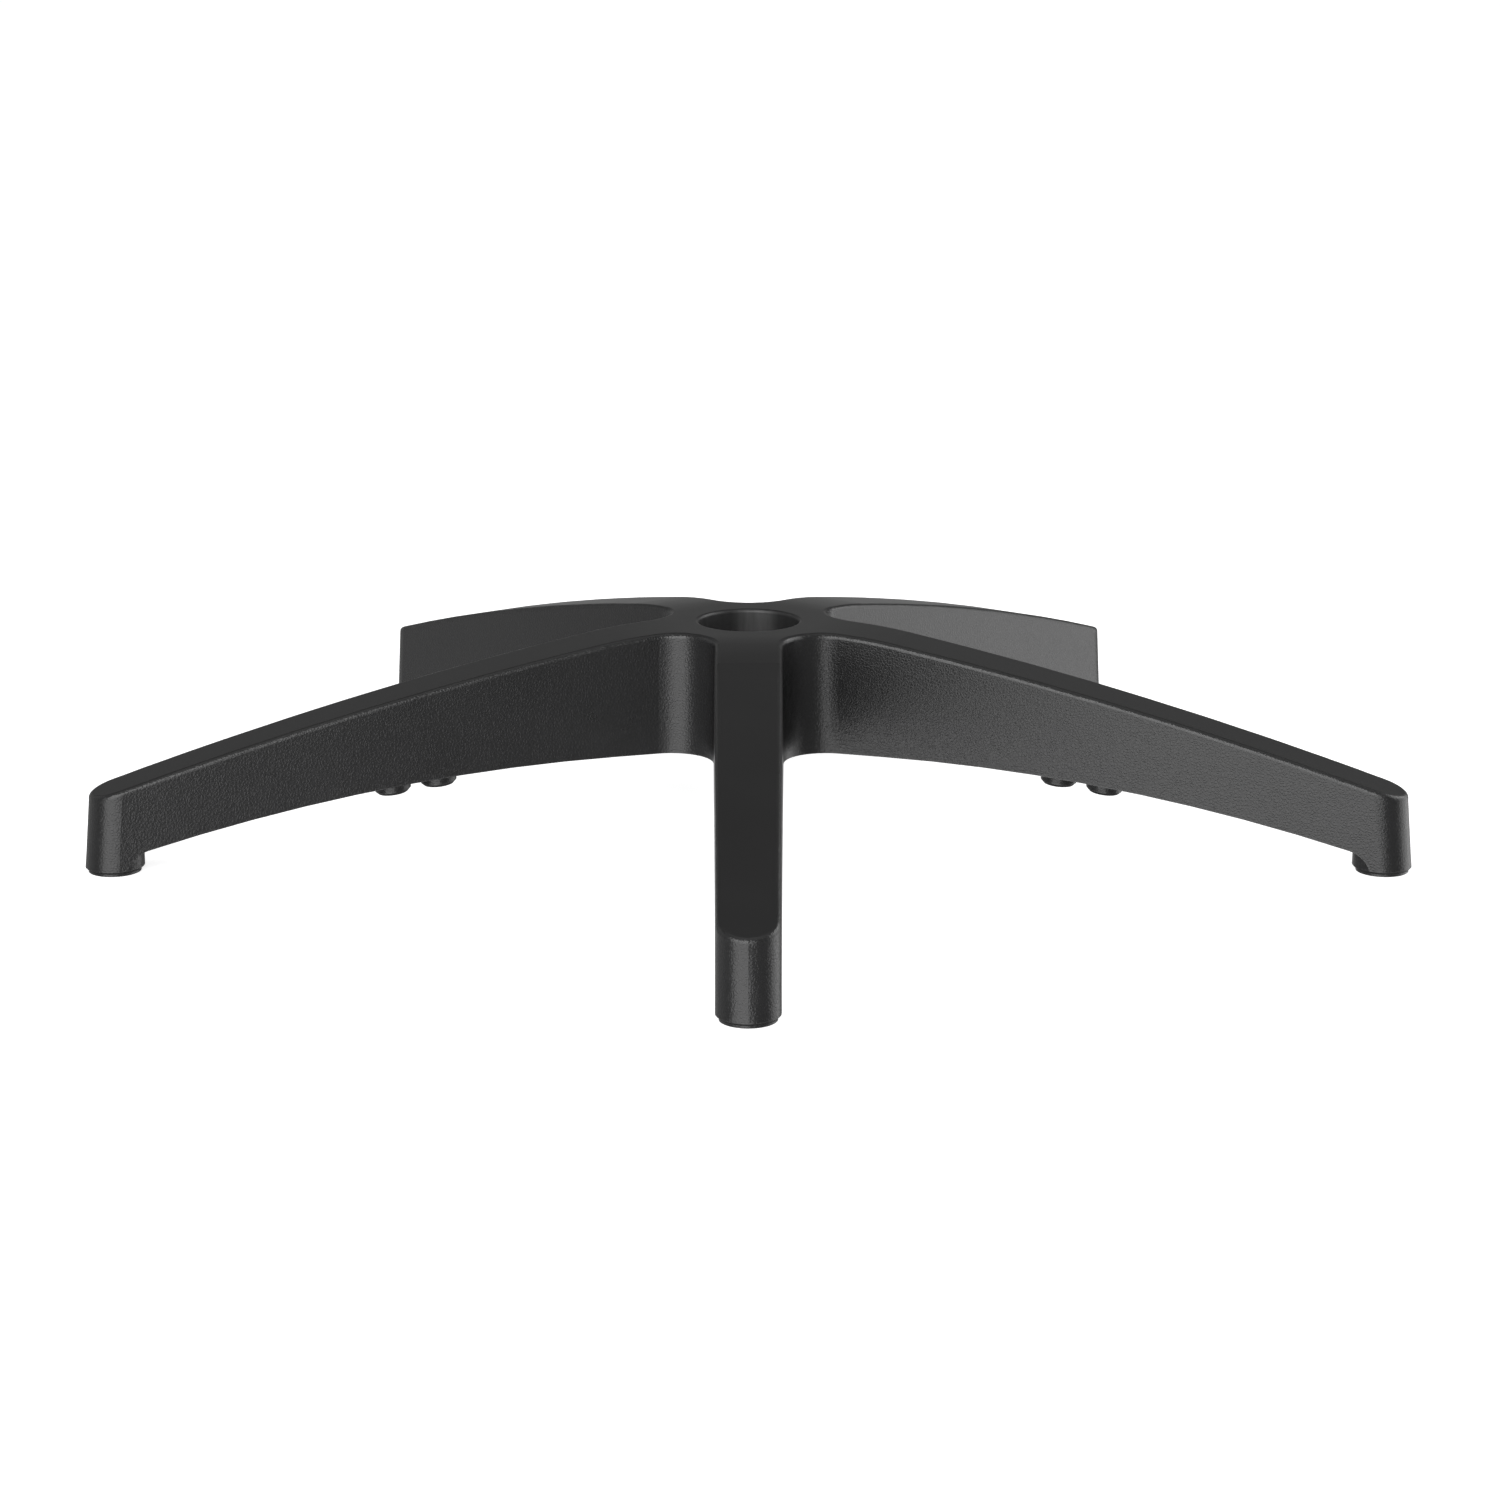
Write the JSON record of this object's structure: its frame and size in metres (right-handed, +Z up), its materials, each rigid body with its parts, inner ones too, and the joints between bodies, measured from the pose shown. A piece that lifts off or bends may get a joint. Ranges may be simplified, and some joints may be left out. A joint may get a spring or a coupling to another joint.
{
  "type": "office chair five star base",
  "caption": "Star-shaped swivel chair base moulded in black plastic, with a tapered column bore in the hub and caster sockets under its arched arms.",
  "frame": {"origin": "on the hub's axis, at the plane the feet stand on", "axes": "+Z up along the hub's axis; one arm points along -Y and the others follow in equal steps of 72 degrees"},
  "size_m": [0.6396, 0.6098, 0.1015],
  "materials": {
    "nylon": "satin top, fine grain on the walls"
  },
  "bodies": {
    "root": {"star_base": "nylon"}
  },
  "joints": []
}
